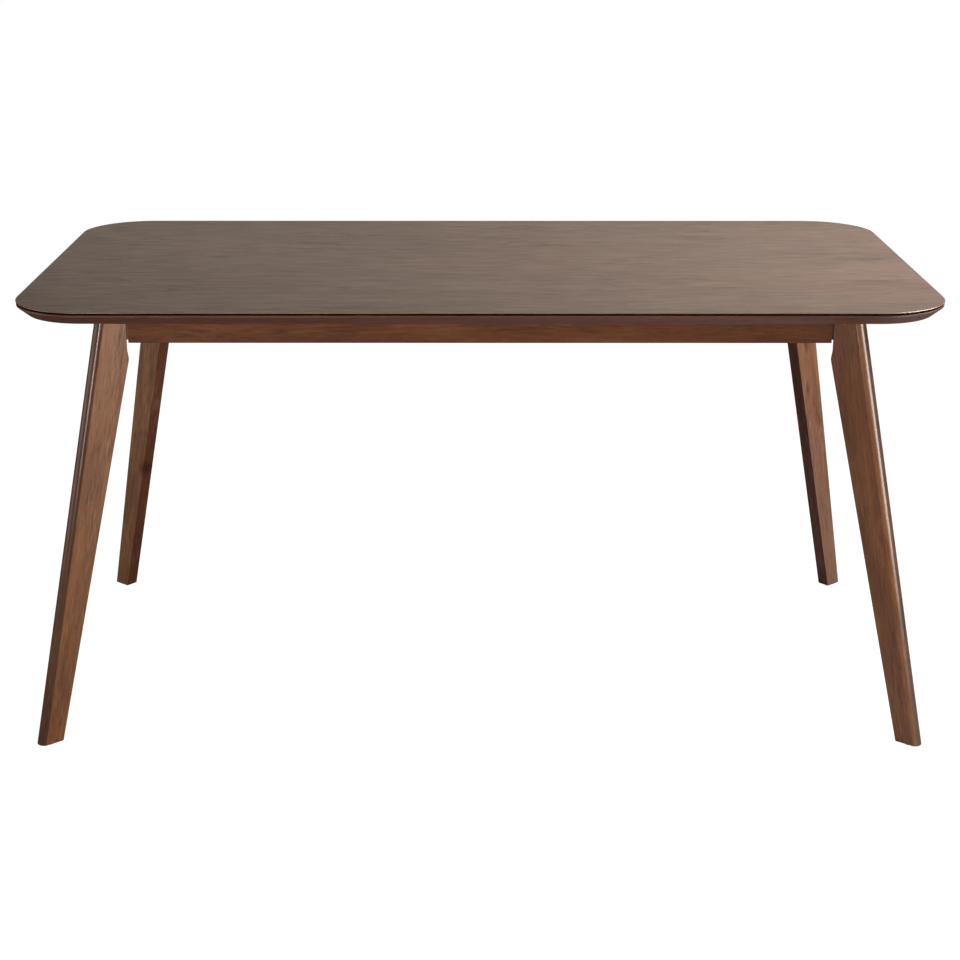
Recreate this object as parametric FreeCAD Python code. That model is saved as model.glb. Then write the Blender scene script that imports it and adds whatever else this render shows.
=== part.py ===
import FreeCAD, Part
import math
import os
from FreeCAD import Vector

# Dining table with a bevelled, round-cornered top on four splayed plank legs.
# X runs along the table, Y from the front edge to the back edge, Z up from the floor.
# The origin is on the floor under the middle of the table. All lengths are millimetres.

# Whole table
table_length = 1500.0
table_depth = 800.0
table_height = 750.0
corner_radius = 120.0

# Top: a thin lip, a shadow groove under it, and a board whose underside is bevelled
top_thickness = 22.0
veneer_thickness = 0.6
lip_height = 2.6
lip_arris = 0.9
groove_height = 2.2
groove_depth = 3.5
board_setback = 0.8
board_edge = 3.2
board_arris = 1.1
bevel_inset = 18.0

# Apron frame under the top, set in from the top's edges
end_overhang = 157.0
side_overhang = 135.0
apron_height = 60.0
apron_thickness = 20.0
apron_rounding = 1.5

# Legs: planks on edge, pointing outward on the diagonal, with a knee under the aprons.
# Their outer edge is an arc that rises this far beyond the arrises of the flat sides.
leg_angle = 40.0
leg_lean = 12.5
leg_thickness = 25.0
leg_edge_rise = 6.5
leg_foot_width = 41.5
leg_knee_width = 67.0
knee_drop = 27.0
knee_rise = 15.0
knee_step = 2.5
leg_arris = 1.2

# Corner blocks: a nose between the apron ends, and two wings behind the aprons
nose_side_play = 0.2
nose_proud = 2.0
block_depth = 52.0
block_shortfall = 6.0
wing_length = 45.0
wing_thickness = 14.0
wing_rounding = 2.0

# Centre rail on edge between the two long aprons
rail_thickness = 20.0
rail_height = 45.0
rail_rounding = 1.5

# Hanger bolts, washers and nuts, two sets per leg
bolt_diameter = 8.0
bolt_depth_in_leg = 34.0
bolt_point = 5.0
bolt_end_chamfer = 0.8
bolt_proud = 3.0
bolt_hole_play = 0.5
upper_bolt_drop = 15.0
bolt_spacing = 25.0
washer_diameter = 16.0
washer_thickness = 1.6
lock_washer_diameter = 13.0
lock_washer_thickness = 2.0
lock_washer_split = 2.0
nut_across_flats = 13.0
nut_height = 6.5

# Dowels and screws between corner blocks and aprons
dowel_diameter = 8.0
dowel_depth_in_apron = 12.0
block_dowel_depth_in_wing = 10.0
block_dowel_distance = 12.0
wing_screw_distance = 33.0
wing_screw_diameter = 4.0
wing_screw_head_diameter = 8.0
wing_screw_head_height = 2.4
wing_screw_depth_in_apron = 14.0
wing_screw_point = 3.0
fixing_edge_distance = 14.0

# Dowels between centre rail and aprons
rail_dowel_depth_in_rail = 18.0
rail_dowel_edge_distance = 12.0

# Steel clips: the tongue sits in a slot in the apron, the flange is screwed to the top
clip_width = 18.0
clip_gauge = 2.0
clip_step = 9.0
clip_tongue = 9.0
clip_flange = 22.0
clip_standoff = 3.0
clip_bend = 1.0
slot_depth = 10.5
slot_height = 2.8
slot_length = 24.0
long_side_clip_shares = (-0.33, -0.11, 0.11, 0.33)
short_side_clip_shares = (0.0,)
clip_screw_diameter = 4.0
clip_screw_depth = 14.0
clip_screw_head_diameter = 8.0
clip_screw_head_height = 2.2
clip_screw_point = 2.5

# Foot glides: a flat disc with a nail
glide_diameter = 20.0
glide_thickness = 2.0
glide_bevel = 0.6
nail_diameter = 2.6
nail_length = 16.0
nail_point = 3.0

# Flat sides that stand for a round: on steel fittings, and on dowels and shanks in the wood
fitting_sides = 12
hidden_sides = 8

# Cutters reach this far past the piece they cut, and edges are found to this precision
overrun = 5.0
precision = 0.005

# Heights and frame lines worked out from the sizes above
underside = table_height - top_thickness
apron_bottom = underside - apron_height
knee_height = apron_bottom - knee_drop
block_bottom = apron_bottom + block_shortfall
half_length = table_length / 2 - end_overhang
half_depth = table_depth / 2 - side_overhang
inner_x = half_length - apron_thickness
inner_y = half_depth - apron_thickness
leg_radius = leg_thickness / 2
nose_half = leg_radius + nose_side_play

# The leg plane in the quarter where X and Y are positive. The leg points along outward,
# and its thickness lies along across. plane_offset centres it on the cut-off corner, so
# that the two apron ends stop equally far short of the seat.
angle = math.radians(leg_angle)
lean = math.radians(leg_lean)
up = Vector(0, 0, 1)
outward = Vector(math.cos(angle), math.sin(angle), 0)
across = Vector(-math.sin(angle), math.cos(angle), 0)
plane_offset = (half_depth * math.cos(angle) - half_length * math.sin(angle)
                - nose_half * math.cos(2 * angle))


def long_apron_end(y):
    """X of the long apron's end, on the flank of the nose, at the depth y."""
    return (y * math.cos(angle) - plane_offset - nose_half) / math.sin(angle)


def short_apron_end(x):
    """Y of the short apron's end, on the flank of the nose, at the distance x."""
    return (x * math.sin(angle) + plane_offset - nose_half) / math.cos(angle)


corner_distance = long_apron_end(half_depth) * math.cos(angle) + half_depth * math.sin(angle)
seat_distance = corner_distance + nose_proud
block_back = seat_distance - block_depth

# Fixing heights
upper_bolt = underside - upper_bolt_drop
bolt_heights = (upper_bolt, upper_bolt - bolt_spacing)
wing_heights = (underside - fixing_edge_distance, block_bottom + fixing_edge_distance)


def at_seat(out, side, height):
    """Point in the first quarter, measured from the middle of the leg's seat."""
    return (outward * (seat_distance + out) + across * (plane_offset + side)
            + up * height)


def flat(points):
    """Flat face inside a closed outline."""
    return Part.Face(Part.makePolygon(points + [points[0]]))


def prism(points, vector):
    """Solid swept along a vector from a closed outline."""
    return flat(points).extrude(vector)


def bar(sides, *stations):
    """Straight bar with flat sides through stations, each a point and the radius there.
    A radius of zero at the last station makes a pointed tip."""
    axis = (stations[-1][0] - stations[0][0]).normalize()
    first = Vector(1, 0, 0) if axis.isParallel(up, precision) else up
    second = axis.cross(first)
    swings = [math.tau * side / sides for side in range(sides)]
    rings = [[point + first * (radius * math.cos(swing)) + second * (radius * math.sin(swing))
              for swing in swings] for point, radius in stations]
    faces = [flat(rings[0])]
    for near, far in zip(rings, rings[1:]):
        for side in range(sides):
            after = (side + 1) % sides
            outline = [near[side], near[after], far[after], far[side]]
            faces.append(flat(outline[:3] if far is rings[-1] and stations[-1][1] == 0
                              else outline))
    if stations[-1][1] > 0:
        faces.append(flat(rings[-1]))
    solid = Part.Solid(Part.Shell(faces))
    return solid if solid.Volume > 0 else solid.reversed()


def fused(solids):
    """One solid from pieces that share faces."""
    return solids[0].fuse(solids[1:]).removeSplitter()


def quarters(solid):
    """The solid and its mirror images in the other three quarters, named by corner."""
    middle = Vector(0, 0, 0)
    left = solid.mirror(middle, Vector(1, 0, 0))
    return {
        "back_right": solid,
        "back_left": left,
        "front_right": solid.mirror(middle, Vector(0, 1, 0)),
        "front_left": left.mirror(middle, Vector(0, 1, 0)),
    }


def in_all_quarters(solids):
    """Every solid of a list, repeated in all four quarters."""
    return [copy for solid in solids for copy in quarters(solid).values()]


def edges_where(solid, test):
    """Edges whose middle point passes a test."""
    chosen = []
    for edge in solid.Edges:
        middle = edge.valueAt((edge.FirstParameter + edge.LastParameter) / 2)
        if test(middle, edge):
            chosen.append(edge)
    return chosen


def level(edge, height):
    """Whether an edge lies flat at a height."""
    box = edge.BoundBox
    return abs(box.ZMin - height) < precision and abs(box.ZMax - height) < precision


def rounded_slab(inset, bottom, top):
    """Slab with the top's rounded outline, set in from it all round."""
    x = table_length / 2 - inset
    y = table_depth / 2 - inset
    radius = corner_radius - inset
    bend = radius * (1 - math.sqrt(0.5))
    corners = ((1, -1), (1, 1), (-1, 1), (-1, -1))
    edges = []
    previous = None
    for sx, sy in corners:
        side = Vector(sx * x, sy * (y - radius), bottom)
        end = Vector(sx * (x - radius), sy * y, bottom)
        first, last = (side, end) if sx == sy else (end, side)
        arc = Part.Arc(first, Vector(sx * (x - bend), sy * (y - bend), bottom), last).toShape()
        if previous:
            edges.append(Part.makeLine(previous, first))
        edges.append(arc)
        previous = last
    edges.append(Part.makeLine(previous, edges[0].Vertexes[0].Point))
    return Part.Face(Part.Wire(edges)).extrude(up * (top - bottom))


def make_top():
    """The top, split into its face veneer, core board and backing veneer."""
    lip_bottom = table_height - lip_height
    board_top = lip_bottom - groove_height
    lip = rounded_slab(0, lip_bottom, table_height)
    lip = lip.makeChamfer(lip_arris, edges_where(
        lip, lambda middle, edge: level(edge, table_height) or level(edge, lip_bottom)))
    neck = rounded_slab(groove_depth, board_top, lip_bottom)
    board = rounded_slab(board_setback, underside, board_top)
    board = board.makeChamfer(
        board_top - board_edge - underside, bevel_inset - board_setback,
        edges_where(board, lambda middle, edge: level(edge, underside)))
    board = board.makeChamfer(board_arris, edges_where(
        board, lambda middle, edge: level(edge, board_top)))
    whole = fused([lip, neck, board])

    def layer(bottom, top):
        return whole.common(rounded_slab(-overrun, bottom, top))

    face = layer(table_height - veneer_thickness, table_height + overrun)
    backing = layer(underside - overrun, underside + veneer_thickness)
    core = layer(underside + veneer_thickness, table_height - veneer_thickness)
    return face, core, backing


def make_long_apron():
    """The back apron. Its ends follow the flanks of the corner noses."""
    outline = [
        Vector(long_apron_end(half_depth), half_depth, apron_bottom),
        Vector(long_apron_end(inner_y), inner_y, apron_bottom),
        Vector(-long_apron_end(inner_y), inner_y, apron_bottom),
        Vector(-long_apron_end(half_depth), half_depth, apron_bottom),
    ]
    apron = prism(outline, up * apron_height)
    return apron.makeFillet(apron_rounding, edges_where(
        apron, lambda middle, edge: level(edge, apron_bottom) and edge.Length > inner_x))


def make_short_apron():
    """The right apron."""
    outline = [
        Vector(half_length, -short_apron_end(half_length), apron_bottom),
        Vector(half_length, short_apron_end(half_length), apron_bottom),
        Vector(inner_x, short_apron_end(inner_x), apron_bottom),
        Vector(inner_x, -short_apron_end(inner_x), apron_bottom),
    ]
    apron = prism(outline, up * apron_height)
    return apron.makeFillet(apron_rounding, edges_where(
        apron, lambda middle, edge: level(edge, apron_bottom) and edge.Length > inner_y))


def leg_outer_edge(height):
    """Distance from the seat to the leg's outer edge at a height."""
    return leg_knee_width - knee_step + (knee_height - height) * math.tan(lean)


def make_leg():
    """Back right leg: a plank with a rounded outer edge, stepped at the knee."""
    foot_outer = leg_outer_edge(glide_thickness)
    outline = [
        at_seat(0, -leg_radius, underside),
        at_seat(0, -leg_radius, knee_height + knee_rise),
        at_seat(-knee_step, -leg_radius, knee_height),
        at_seat(foot_outer - leg_foot_width, -leg_radius, glide_thickness),
        at_seat(foot_outer + leg_thickness, -leg_radius, glide_thickness),
        at_seat(foot_outer + leg_thickness, -leg_radius, underside),
    ]
    silhouette = prism(outline, across * leg_thickness)

    # Bar with a rounded edge, leaning as the leg does
    along = up * math.cos(lean) - outward * math.sin(lean)
    square_out = outward * math.cos(lean) + up * math.sin(lean)
    base = at_seat(leg_outer_edge(0), 0, 0) - square_out * leg_edge_rise - along * leg_thickness
    inner = base - square_out * (leg_knee_width + table_height * math.sin(lean))
    side = across * leg_radius
    section = Part.Wire([
        Part.makeLine(inner - side, base - side),
        Part.Arc(base - side, base + square_out * leg_edge_rise, base + side).toShape(),
        Part.makeLine(base + side, inner + side),
        Part.makeLine(inner + side, inner - side),
    ])
    bar = Part.Face(section).extrude(along * (table_height / math.cos(lean) + 2 * leg_thickness))
    leg = bar.common(silhouette)

    def on_inner_arris(middle, edge):
        rise = edge.BoundBox.ZLength
        out = middle.dot(outward) - seat_distance
        return rise > overrun and out < leg_outer_edge(middle.z) - leg_thickness

    leg = leg.makeFillet(leg_arris, edges_where(leg, on_inner_arris))
    return leg


def make_corner_block():
    """Block behind the back right corner of the frame."""
    flank_x = long_apron_end(inner_y)
    flank_y = short_apron_end(inner_x)
    wing_y = inner_y - wing_thickness
    wing_x = inner_x - wing_thickness
    back_at_wing_y = (block_back - wing_y * math.sin(angle)) / math.cos(angle)
    back_at_wing_x = (block_back - wing_x * math.cos(angle)) / math.sin(angle)
    outline = [
        at_seat(0, -nose_half, block_bottom),
        at_seat(0, nose_half, block_bottom),
        Vector(flank_x, inner_y, block_bottom),
        Vector(flank_x - wing_length, inner_y, block_bottom),
        Vector(flank_x - wing_length, wing_y, block_bottom),
        Vector(back_at_wing_y, wing_y, block_bottom),
        Vector(wing_x, back_at_wing_x, block_bottom),
        Vector(wing_x, flank_y - wing_length, block_bottom),
        Vector(inner_x, flank_y - wing_length, block_bottom),
        Vector(inner_x, flank_y, block_bottom),
    ]
    block = prism(outline, up * (underside - block_bottom))

    def at_wing_end(middle, edge):
        upright = edge.BoundBox.ZLength > overrun
        long_wing = (math.isclose(middle.x, flank_x - wing_length)
                     and math.isclose(middle.y, wing_y))
        short_wing = (math.isclose(middle.y, flank_y - wing_length)
                      and math.isclose(middle.x, wing_x))
        return upright and (long_wing or short_wing)

    return block.makeFillet(wing_rounding, edges_where(block, at_wing_end))


def make_centre_rail():
    """Rail on edge across the middle of the frame."""
    rail = Part.makeBox(rail_thickness, 2 * inner_y, rail_height,
                        Vector(-rail_thickness / 2, -inner_y, underside - rail_height))
    return rail.makeFillet(rail_rounding, edges_where(
        rail, lambda middle, edge: level(edge, underside - rail_height)
        and edge.Length > inner_y))


def dowel(start, end):
    """Dowel between two points."""
    radius = dowel_diameter / 2
    return bar(hidden_sides, (start, radius), (end, radius))


def make_block_dowels():
    """Dowels between the wings of one corner block and its two aprons."""
    dowels = []
    x = long_apron_end(inner_y) - block_dowel_distance
    y = short_apron_end(inner_x) - block_dowel_distance
    for height in wing_heights:
        dowels.append(dowel(Vector(x, inner_y - block_dowel_depth_in_wing, height),
                            Vector(x, inner_y + dowel_depth_in_apron, height)))
        dowels.append(dowel(Vector(inner_x - block_dowel_depth_in_wing, y, height),
                            Vector(inner_x + dowel_depth_in_apron, y, height)))
    return dowels


def make_rail_dowels():
    """Dowels at both ends of the centre rail."""
    dowels = []
    heights = (underside - rail_dowel_edge_distance,
               underside - rail_height + rail_dowel_edge_distance)
    for side in (-1, 1):
        for height in heights:
            dowels.append(dowel(Vector(0, side * (inner_y - rail_dowel_depth_in_rail), height),
                                Vector(0, side * (inner_y + dowel_depth_in_apron), height)))
    return dowels


def countersunk_screw(head, direction, length):
    """Wood screw whose flat head starts at a point, with a plain shank and a point."""
    radius = wing_screw_diameter / 2
    neck = head + direction * wing_screw_head_height
    taper = head + direction * (length - wing_screw_point)
    tip = head + direction * length
    return bar(hidden_sides, (head, wing_screw_head_diameter / 2), (neck, radius),
               (taper, radius), (tip, 0))


def make_block_screws():
    """Screws through the wings of one corner block into its two aprons."""
    screws = []
    length = wing_thickness + wing_screw_depth_in_apron
    x = long_apron_end(inner_y) - wing_screw_distance
    y = short_apron_end(inner_x) - wing_screw_distance
    for height in wing_heights:
        screws.append(countersunk_screw(
            Vector(x, inner_y - wing_thickness, height), Vector(0, 1, 0), length))
        screws.append(countersunk_screw(
            Vector(inner_x - wing_thickness, y, height), Vector(1, 0, 0), length))
    return screws


def make_hanger_bolts():
    """Bolts of one leg: pointed end in the leg, plain end out of the block's back."""
    radius = bolt_diameter / 2
    stack = washer_thickness + lock_washer_thickness + nut_height + bolt_proud
    bolts = []
    for height in bolt_heights:
        tip = at_seat(bolt_depth_in_leg, 0, height)
        end = at_seat(-block_depth - stack, 0, height)
        bolts.append(bar(fitting_sides, (end, radius - bolt_end_chamfer),
                         (end + outward * bolt_end_chamfer, radius),
                         (tip - outward * bolt_point, radius), (tip, 0)))
    return bolts


def on_bolts(sides, radius, distance, thickness):
    """Pieces threaded on the bolts of one leg, that far behind the corner block."""
    pieces = []
    for height in bolt_heights:
        start = at_seat(-block_depth - distance, 0, height)
        end = start - outward * thickness
        hole = bar(fitting_sides, (start, bolt_diameter / 2), (end, bolt_diameter / 2))
        pieces.append(bar(sides, (start, radius), (end, radius)).cut(hole))
    return pieces


def make_washers():
    """Flat washers of one leg, against the block's back."""
    return on_bolts(fitting_sides, washer_diameter / 2, 0, washer_thickness)


def make_lock_washers():
    """Split washers of one leg, between flat washer and nut."""
    discs = on_bolts(fitting_sides, lock_washer_diameter / 2, washer_thickness,
                     lock_washer_thickness)
    washers = []
    for disc, height in zip(discs, bolt_heights):
        split = Part.makeBox(lock_washer_thickness, lock_washer_split, lock_washer_diameter,
                             Vector(0, -lock_washer_split / 2, 0))
        split.rotate(Vector(0, 0, 0), up, leg_angle)
        split.translate(at_seat(-block_depth - washer_thickness - lock_washer_thickness,
                                0, height))
        washers.append(disc.cut(split))
    return washers


def make_nuts():
    """Hex nuts of one leg."""
    return on_bolts(6, nut_across_flats / math.sqrt(3),
                    washer_thickness + lock_washer_thickness, nut_height)


def make_clip():
    """Steel clip at the origin: its screwed flange lies at height zero and points along +X,
    and its tongue points along -X into the slot of an apron whose inner face is at X zero."""
    half = clip_width / 2
    flange_end = clip_standoff + clip_flange
    points = [
        Vector(-clip_tongue, -half, -clip_step - clip_gauge),
        Vector(clip_standoff + clip_gauge, -half, -clip_step - clip_gauge),
        Vector(clip_standoff + clip_gauge, -half, -clip_gauge),
        Vector(flange_end, -half, -clip_gauge),
        Vector(flange_end, -half, 0),
        Vector(clip_standoff, -half, 0),
        Vector(clip_standoff, -half, -clip_step),
        Vector(-clip_tongue, -half, -clip_step),
    ]
    clip = prism(points, Vector(0, clip_width, 0))

    def at_outer_bend(middle, edge):
        lower = (math.isclose(middle.x, clip_standoff + clip_gauge)
                 and math.isclose(middle.z, -clip_step - clip_gauge))
        upper = math.isclose(middle.x, clip_standoff) and abs(middle.z) < precision
        return edge.Length > clip_gauge and (lower or upper)

    return clip.makeChamfer(clip_bend, edges_where(clip, at_outer_bend))


def make_clip_screw():
    """Pan-head screw of the clip at the origin, up through its flange into the top."""
    radius = clip_screw_diameter / 2
    head_radius = clip_screw_head_diameter / 2
    rise = clip_screw_head_height / 2
    flange = Vector(clip_standoff + clip_gauge + (clip_flange - clip_gauge) / 2, 0, -clip_gauge)
    tip = flange + up * (clip_gauge + clip_screw_depth)
    head = bar(fitting_sides, (flange - up * clip_screw_head_height, head_radius - rise),
               (flange - up * rise, head_radius), (flange, head_radius))
    shank = bar(hidden_sides, (flange, radius), (tip - up * clip_screw_point, radius), (tip, 0))
    return fused([head, shank])


def make_slot():
    """Cutter for the slot of the clip at the origin, in the apron behind it."""
    return Part.makeBox(slot_depth + overrun, slot_length, slot_height,
                        Vector(-slot_depth, -slot_length / 2, -clip_step - slot_height))


def at_clips(solid):
    """The solid at the origin, carried to every clip, as lists for each apron."""
    middle = Vector(0, 0, 0)

    def placed(turn, position):
        copy = solid.copy()
        copy.rotate(middle, up, turn)
        copy.translate(position)
        return copy

    front = []
    back = []
    for share in long_side_clip_shares:
        front.append(placed(90, Vector(share * 2 * half_length, -inner_y, underside)))
        back.append(placed(-90, Vector(share * 2 * half_length, inner_y, underside)))
    left = [placed(0, Vector(-inner_x, share * 2 * half_depth, underside))
            for share in short_side_clip_shares]
    right = [placed(180, Vector(inner_x, share * 2 * half_depth, underside))
             for share in short_side_clip_shares]
    return {"front": front, "back": back, "left": left, "right": right}


def make_glide():
    """Glide under the back right foot, with its nail."""
    out = leg_outer_edge(glide_thickness) - leg_foot_width / 2
    floor = at_seat(out, 0, 0)
    foot = at_seat(out, 0, glide_thickness)
    tip = foot + up * nail_length
    wide = glide_diameter / 2
    disc = bar(fitting_sides, (floor, wide - glide_bevel), (floor + up * glide_bevel, wide),
               (foot, wide))
    nail = bar(hidden_sides, (foot, nail_diameter / 2),
               (tip - up * nail_point, nail_diameter / 2), (tip, 0))
    return fused([disc, nail])


def every(lists):
    """All solids of a dictionary of lists."""
    return [solid for solids in lists.values() for solid in solids]


def bored(solid, cutters):
    """A solid with the holes of its own fixings."""
    near = [cutter for cutter in cutters if cutter.BoundBox.intersect(solid.BoundBox)]
    return solid.cut(near) if near else solid


def write(name, shape):
    """One STEP file for one node."""
    shape.exportStep("parts/" + name + ".step")
    print(name, len(shape.Solids), "solids, volume", round(shape.Volume))


os.makedirs("parts", exist_ok=True)

bolts = make_hanger_bolts()
block_dowels = in_all_quarters(make_block_dowels())
block_screws = in_all_quarters(make_block_screws())
rail_dowels = make_rail_dowels()
clips = at_clips(make_clip())
clip_screws = at_clips(make_clip_screw())
slots = at_clips(make_slot())

# Top, bored for the clip screws
face, core, backing = make_top()
write("top_veneer", face)
write("top_core", bored(core, every(clip_screws)))
write("backing_veneer", bored(backing, every(clip_screws)))

# Aprons, bored for dowels and screws and slotted for the clips
long_apron = make_long_apron()
short_apron = make_short_apron()
aprons = {
    "back": long_apron,
    "front": long_apron.mirror(Vector(0, 0, 0), Vector(0, 1, 0)),
    "right": short_apron,
    "left": short_apron.mirror(Vector(0, 0, 0), Vector(1, 0, 0)),
}
for side, apron in aprons.items():
    write("apron_" + side, bored(apron, block_dowels + block_screws + rail_dowels + slots[side]))

# Legs, each with the holes of its bolts and its glide's nail
glide = make_glide()
for corner, leg in quarters(bored(make_leg(), bolts + [glide])).items():
    write("leg_" + corner, leg)

# Corner blocks, with clearance holes for the bolts
hole_radius = bolt_diameter / 2 + bolt_hole_play
bolt_holes = [bar(fitting_sides, (at_seat(overrun, 0, height), hole_radius),
                  (at_seat(-block_depth - overrun, 0, height), hole_radius))
              for height in bolt_heights]
block = bored(make_corner_block(), bolt_holes + make_block_dowels() + make_block_screws())
for corner, copy in quarters(block).items():
    write("corner_block_" + corner, copy)

write("centre_rail", bored(make_centre_rail(), rail_dowels))

# Fixings: identical ones share a node
write("hanger_bolts", Part.makeCompound(in_all_quarters(bolts)))
write("flat_washers", Part.makeCompound(in_all_quarters(make_washers())))
write("lock_washers", Part.makeCompound(in_all_quarters(make_lock_washers())))
write("hex_nuts", Part.makeCompound(in_all_quarters(make_nuts())))
write("block_dowels", Part.makeCompound(block_dowels))
write("block_screws", Part.makeCompound(block_screws))
write("rail_dowels", Part.makeCompound(rail_dowels))

write("top_clips", Part.makeCompound([bored(clip, every(clip_screws)) for clip in every(clips)]))
write("clip_screws", Part.makeCompound(every(clip_screws)))
write("foot_glides", Part.makeCompound(in_all_quarters([glide])))
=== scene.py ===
import math

import bmesh
import bpy
from mathutils import Euler, Matrix, Vector


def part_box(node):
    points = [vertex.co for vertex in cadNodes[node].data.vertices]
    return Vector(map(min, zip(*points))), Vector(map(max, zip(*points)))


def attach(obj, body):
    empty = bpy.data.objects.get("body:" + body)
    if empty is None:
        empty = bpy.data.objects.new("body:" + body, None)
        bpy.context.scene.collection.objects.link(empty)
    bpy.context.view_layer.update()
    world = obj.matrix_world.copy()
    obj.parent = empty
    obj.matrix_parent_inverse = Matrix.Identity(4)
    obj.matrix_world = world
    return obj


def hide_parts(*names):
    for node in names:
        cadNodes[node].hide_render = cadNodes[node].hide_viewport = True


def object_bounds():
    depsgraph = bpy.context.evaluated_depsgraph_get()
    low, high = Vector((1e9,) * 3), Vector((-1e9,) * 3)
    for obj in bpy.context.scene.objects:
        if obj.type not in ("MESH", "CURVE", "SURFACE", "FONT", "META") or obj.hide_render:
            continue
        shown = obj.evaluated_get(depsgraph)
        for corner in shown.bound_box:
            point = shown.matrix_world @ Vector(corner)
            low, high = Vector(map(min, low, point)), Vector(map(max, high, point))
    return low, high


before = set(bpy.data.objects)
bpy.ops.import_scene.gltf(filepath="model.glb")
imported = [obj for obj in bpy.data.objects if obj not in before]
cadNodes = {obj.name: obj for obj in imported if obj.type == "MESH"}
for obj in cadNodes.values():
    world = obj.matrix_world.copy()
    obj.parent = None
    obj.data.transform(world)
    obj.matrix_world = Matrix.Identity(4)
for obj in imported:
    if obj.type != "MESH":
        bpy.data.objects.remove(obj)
cadLow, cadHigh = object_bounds()
mm = 0.001
weld = 0.0001 * mm  # points nearer than this become one
print("frame loaded,", len(cadNodes), "nodes")


# meshes

def addRings(bm, rings):
    # skin between closed rings of points, which all have the same number of points
    made = [[bm.verts.new(point) for point in ring] for ring in rings]
    for near, far in zip(made, made[1:]):
        count = len(near)
        for step in range(count):
            after = (step + 1) % count
            bm.faces.new((near[step], near[after], far[after], far[step]))
    return made


def addSolid(bm, rings):
    # the same skin with a flat face over each end
    made = addRings(bm, rings)
    bm.faces.new(made[0])
    bm.faces.new(made[-1])
    return made


def newPiece(name, bm, materials, replaced, smoothAngle=35, seats=None):
    # a bmesh becomes a piece of the table, repeated at every seat, in place of CAD nodes
    bmesh.ops.remove_doubles(bm, verts=bm.verts, dist=weld)
    bmesh.ops.recalc_face_normals(bm, faces=bm.faces)
    mesh = bpy.data.meshes.new(name)
    if seats:
        bm.to_mesh(mesh)
        bm.free()
        bm = bmesh.new()
        for seat in seats:
            before = len(bm.verts)
            bm.from_mesh(mesh)
            bm.verts.ensure_lookup_table()
            bmesh.ops.transform(bm, matrix=seat, verts=bm.verts[before:])
    bm.to_mesh(mesh)
    bm.free()
    piece = bpy.data.objects.new(name, mesh)
    bpy.context.scene.collection.objects.link(piece)
    for material in materials:
        mesh.materials.append(material)
    softShade(piece, smoothAngle)
    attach(piece, "root")
    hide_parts(*replaced)


def softShade(piece, angle):
    # smooth shading that leaves flat faces flat and arrises crisp
    piece.data.shade_smooth()
    piece.data.set_sharp_from_angle(angle=math.radians(angle))
    weights = piece.modifiers.new("flatFaces", "WEIGHTED_NORMAL")
    weights.keep_sharp = True


def arc(centre, radius, first, last, steps):
    # points of an arc in a plane, angles in degrees
    swings = [math.radians(first + (last - first) * step / steps) for step in range(steps + 1)]
    return [(centre[0] + radius * math.cos(swing), centre[1] + radius * math.sin(swing))
            for swing in swings]


# materials

def startMaterial(name):
    material = bpy.data.materials.new(name)
    material.use_nodes = True
    tree = material.node_tree
    tree.nodes.clear()
    output = tree.nodes.new("ShaderNodeOutputMaterial")
    shader = tree.nodes.new("ShaderNodeBsdfPrincipled")
    tree.links.new(shader.outputs["BSDF"], output.inputs["Surface"])
    return material, tree, shader


def node(tree, kind, inputs=None, **settings):
    # a shader node with its settings, fixed inputs and links in one call
    made = tree.nodes.new(kind)
    for name, value in settings.items():
        setattr(made, name, value)
    for name, value in (inputs or {}).items():
        if isinstance(value, bpy.types.NodeSocket):
            tree.links.new(value, made.inputs[name])
        else:
            made.inputs[name].default_value = value
    return made


def calc(tree, operation, first, second=0.0, third=0.0):
    made = node(tree, "ShaderNodeMath", {0: first, 1: second, 2: third}, operation=operation)
    return made.outputs[0]


def stretched(tree, place, scale, offset=(0, 0, 0)):
    return node(tree, "ShaderNodeMapping",
                {"Vector": place, "Scale": scale, "Location": offset}).outputs["Vector"]


def cloud(tree, place, detail=2.0, rough=0.5, twist=0.0):
    return node(tree, "ShaderNodeTexNoise",
                {"Vector": place, "Scale": 1.0, "Detail": detail, "Roughness": rough,
                 "Distortion": twist}).outputs["Fac"]


def ramp(tree, value, stops):
    made = node(tree, "ShaderNodeValToRGB", {"Fac": value})
    band = made.color_ramp
    while len(band.elements) < len(stops):
        band.elements.new(0.5)
    for element, (position, colour) in zip(band.elements, stops):
        element.position = position
        element.color = (*colour, 1.0)
    return made.outputs["Color"]


def span(tree, value, low, high, newLow, newHigh):
    return node(tree, "ShaderNodeMapRange",
                {"Value": value, "From Min": low, "From Max": high, "To Min": newLow,
                 "To Max": newHigh}).outputs["Result"]


def blended(tree, share, first, second, way="MIX"):
    # two colours mixed, each a socket or a colour
    colours = [value if isinstance(value, bpy.types.NodeSocket) else (*value, 1.0)
               for value in (first, second)]
    return node(tree, "ShaderNodeMix", {"Factor": share, 6: colours[0], 7: colours[1]},
                data_type="RGBA", blend_type=way).outputs[2]


# what all woods share: how wide the noise is read, how pores fade in, and the ragged marks
wood = dict(
    hueSpan=(0.38, 0.62), crowdSpan=(0.40, 0.62), crowdLeast=0.15, dashFade=0.09,
    glintFade=0.10, glintShift=(5, 3, 1), bandSpan=(0.3, 0.7), roughSwing=0.04, poreRough=0.15,
    bumpHeight=0.1 * mm, refraction=1.5, raggedScale=(30, 190, 190), ragged=1.4, markFrom=0.2,
)


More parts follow.
